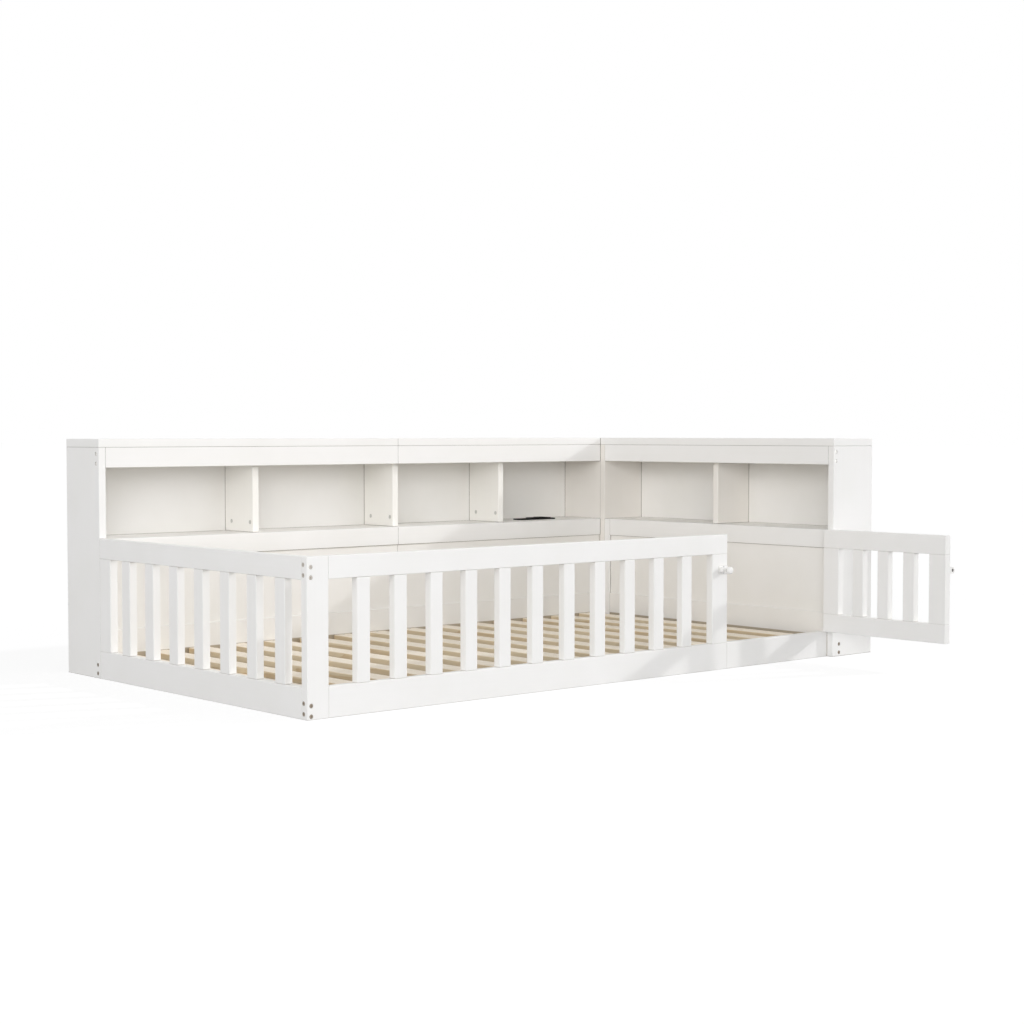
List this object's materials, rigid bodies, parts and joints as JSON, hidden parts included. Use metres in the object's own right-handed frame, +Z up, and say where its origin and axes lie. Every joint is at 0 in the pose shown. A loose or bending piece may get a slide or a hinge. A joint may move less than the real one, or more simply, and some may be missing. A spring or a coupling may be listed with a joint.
{
  "type": "single floor bed",
  "caption": "Low single floor bed with a slatted fence, a hinged gate with a slide bolt, pine slats, and an L of open bookcases along its back and head.",
  "frame": {"origin": "middle of the part's box on the floor, with the gate open square to the front", "axes": "+X along the front towards the head, +Y to the long bookcase at the back, +Z up"},
  "size_m": [2.169, 1.68, 0.684],
  "materials": {
    "white_paint": "satin white paint",
    "pine": "bare planed pine",
    "black_plastic": "satin black",
    "dark_steel": "dark bronze",
    "zinc_steel": "zinc plated",
    "white_metal": "white powder coat"
  },
  "bodies": {
    "frame": {"back_base_boards": "white_paint", "back_left_apron": "white_paint", "back_left_divider": "white_paint", "back_left_end_panel": "white_paint", "back_left_shelf": "white_paint", "back_left_shelf_rail": "white_paint", "back_left_top_board": "white_paint", "back_middle_upright": "white_paint", "back_panels": "white_paint", "back_right_apron": "white_paint", "back_right_divider": "white_paint", "back_right_end_panel": "white_paint", "back_right_shelf": "white_paint", "back_right_shelf_rail": "white_paint", "back_right_top_board": "white_paint", "back_wall_panels": "white_paint", "barrel_nuts": "zinc_steel", "bed_slats": "pine", "cam_fittings": "zinc_steel", "centre_support": "pine", "corner_post": "white_paint", "corner_stile": "white_paint", "frame_bolts": "dark_steel", "front_bottom_rail": "white_paint", "front_end_post": "white_paint", "front_fence_slats": "white_paint", "front_top_rail": "white_paint", "gate_sill_rail": "white_paint", "hinge_fixed_leaves": "zinc_steel", "hinge_pins": "zinc_steel", "latch_plate": "white_metal", "left_bottom_rail": "white_paint", "left_fence_slats": "white_paint", "left_rear_stile": "white_paint", "left_top_rail": "white_paint", "leg_panels": "white_paint", "power_socket_insert": "black_plastic", "power_unit_body": "black_plastic", "power_usb_module": "black_plastic", "side_apron": "white_paint", "side_back_panel": "white_paint", "side_base_board": "white_paint", "side_divider": "white_paint", "side_floor_stretcher": "white_paint", "side_front_end_panel": "white_paint", "side_rear_end_panel": "white_paint", "side_shelf": "white_paint", "side_shelf_rail": "white_paint", "side_top_board": "white_paint", "side_wall_panel": "white_paint", "slat_ledgers": "pine", "wood_screws": "zinc_steel"},
    "gate": {"gate_bottom_rail": "white_paint", "gate_top_rail": "white_paint", "gate_stiles": "white_paint", "gate_slats": "white_paint", "gate_screws": "zinc_steel", "hinge_gate_leaves": "zinc_steel", "latch_keeper": "white_metal"},
    "slide_bolt": {"latch_bolt": "white_metal"}
  },
  "joints": [
    {"name": "gate_swing", "type": "hinge", "parent": "frame", "child": "gate", "pos_m": [0.8887, -0.38035, 0.24], "axis": [0, 0, 1], "range_deg": [-90, 0]},
    {"name": "bolt_slide", "type": "slide", "parent": "frame", "child": "slide_bolt", "axis": [1, 0, 0], "range_m": [0, 0.011]}
  ]
}
